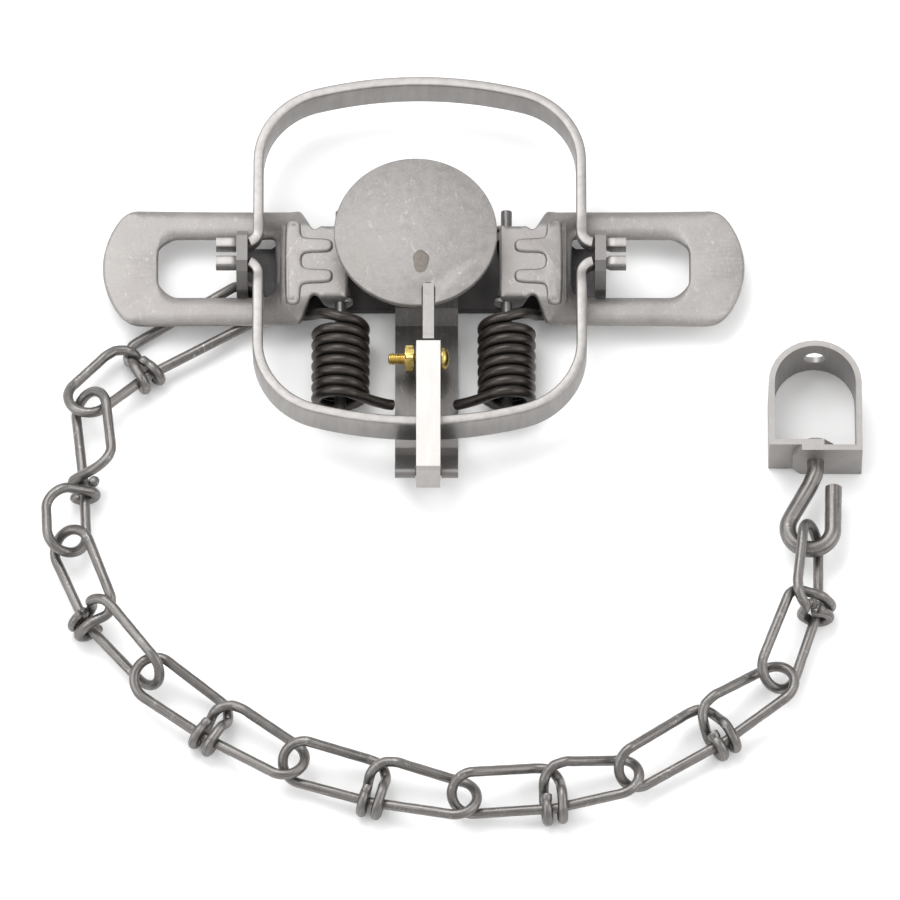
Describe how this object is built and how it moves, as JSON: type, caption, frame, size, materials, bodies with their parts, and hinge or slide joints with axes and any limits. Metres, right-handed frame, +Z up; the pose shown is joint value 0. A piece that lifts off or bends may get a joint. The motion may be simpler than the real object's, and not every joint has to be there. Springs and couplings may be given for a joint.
{
  "type": "foothold trap",
  "caption": "Double coil-spring foothold trap, shown set, with round pan, dog, brass pan bolt, stamped levers, and a double-loop chain ending in a swivel and strap.",
  "frame": {"origin": "centre of the base plate's underside", "axes": "+X to the right along the base plate, +Y away from the dog, +Z up"},
  "size_m": [0.2727, 0.2659, 0.0294],
  "materials": {
    "frame_steel": "dark satin",
    "bolt_brass": "satin",
    "rod_steel": "dark satin",
    "spring_wire": "dark oiled",
    "jaw_steel": "satin",
    "lever_sheet": "mottled satin",
    "pan_cast": "cast, matt",
    "dog_bright": "bright",
    "chain_wire": "dark drawn wire",
    "strap_steel": "satin"
  },
  "bodies": {
    "base": {"base_plate": "frame_steel", "cross_bar": "frame_steel", "frame_rivets": "frame_steel", "pan_bracket": "frame_steel", "pan_bolt": "bolt_brass", "pan_nut": "bolt_brass", "dog_pin": "rod_steel", "spring_rod_left": "rod_steel", "spring_rod_right": "rod_steel", "spring_left": "spring_wire", "spring_right": "spring_wire"},
    "jaw_far": {"jaw_far": "jaw_steel"},
    "jaw_near": {"jaw_near": "jaw_steel"},
    "lever_left": {"lever_left": "lever_sheet"},
    "lever_right": {"lever_right": "lever_sheet"},
    "dog": {"dog": "dog_bright"},
    "pan": {"pan_disc": "pan_cast", "pan_shank": "pan_cast"},
    "link_1": {"chain_link_1": "chain_wire"},
    "link_2": {"chain_link_2": "chain_wire"},
    "link_3": {"chain_link_3": "chain_wire"},
    "link_4": {"chain_link_4": "chain_wire"},
    "link_5": {"chain_link_5": "chain_wire"},
    "link_6": {"chain_link_6": "chain_wire"},
    "link_7": {"chain_link_7": "chain_wire"},
    "link_8": {"chain_link_8": "chain_wire"},
    "eye": {"swivel_eye": "chain_wire"},
    "strap": {"swivel_strap": "strap_steel"}
  },
  "joints": [
    {"name": "jaw_far_close", "type": "hinge", "parent": "base", "child": "jaw_far", "pos_m": [0, 0.0034, 0.02], "axis": [1, 0, 0], "range_deg": [0, 84]},
    {"name": "jaw_near_close", "type": "hinge", "parent": "base", "child": "jaw_near", "pos_m": [0, -0.0034, 0.02], "axis": [1, 0, 0], "range_deg": [-84, 0]},
    {"name": "lever_left_rise", "type": "hinge", "parent": "base", "child": "lever_left", "pos_m": [-0.0277, 0, 0.0105], "axis": [0, 1, 0], "range_deg": [0, 21], "deforming": ["spring_left"]},
    {"name": "lever_right_rise", "type": "hinge", "parent": "base", "child": "lever_right", "pos_m": [0.0277, 0, 0.0105], "axis": [0, 1, 0], "range_deg": [-21, 0], "deforming": ["spring_right"]},
    {"name": "dog_flip", "type": "hinge", "parent": "base", "child": "dog", "pos_m": [0.0016, -0.0806, 0.02], "axis": [1, 0, 0], "range_deg": [0, 191.52]},
    {"name": "pan_tilt", "type": "hinge", "parent": "base", "child": "pan", "pos_m": [0.0016, -0.035, 0.012], "axis": [1, 0, 0], "range_deg": [-8, 0]},
    {"name": "link_1_swing", "type": "hinge", "parent": "base", "child": "link_1", "pos_m": [-0.06065, -0.005, 0.0057], "axis": [0, 0, 1], "range_deg": [-2, 4]},
    {"name": "link_2_swing", "type": "hinge", "parent": "link_1", "child": "link_2", "pos_m": [-0.114, -0.04905, 0.0095], "axis": [0, 0, -1], "range_deg": [-8, 12]},
    {"name": "link_3_swing", "type": "hinge", "parent": "link_2", "child": "link_3", "pos_m": [-0.11865, -0.101, 0.009], "axis": [0, 0, 1], "range_deg": [-12, 5]},
    {"name": "link_4_swing", "type": "hinge", "parent": "link_3", "child": "link_4", "pos_m": [-0.09095, -0.1491, 0.01], "axis": [0, 0, -1], "range_deg": [-3, 12]},
    {"name": "link_5_swing", "type": "hinge", "parent": "link_4", "child": "link_5", "pos_m": [-0.0431, -0.1803, 0.0086], "axis": [0, 0, 1], "range_deg": [-12, 3.5]},
    {"name": "link_6_swing", "type": "hinge", "parent": "link_5", "child": "link_6", "pos_m": [0.01345, -0.1932, 0.0088], "axis": [0, 0, -1], "range_deg": [-6, 12]},
    {"name": "link_7_swing", "type": "hinge", "parent": "link_6", "child": "link_7", "pos_m": [0.06795, -0.1853, 0.0098], "axis": [0, 0, 1], "range_deg": [-12, 9]},
    {"name": "link_8_swing", "type": "hinge", "parent": "link_7", "child": "link_8", "pos_m": [0.11835, -0.1505, 0.0086], "axis": [0, 0, -1], "range_deg": [-12, 12]},
    {"name": "eye_swing", "type": "hinge", "parent": "link_8", "child": "eye", "pos_m": [0.1284, -0.0994, 0.0095], "axis": [0, 0, 1], "range_deg": [-10, 10]},
    {"name": "strap_swivel", "type": "hinge", "parent": "eye", "child": "strap", "pos_m": [0.1303, -0.071, 0.0092], "axis": [0, 1, 0], "continuous": true}
  ],
  "couplings": [
    {"joint": "jaw_near_close", "follows": "jaw_far_close", "ratio": -1},
    {"joint": "lever_left_rise", "follows": "jaw_far_close", "ratio": 0.25},
    {"joint": "lever_right_rise", "follows": "jaw_far_close", "ratio": -0.25},
    {"joint": "dog_flip", "follows": "jaw_far_close", "ratio": 2.28}
  ]
}
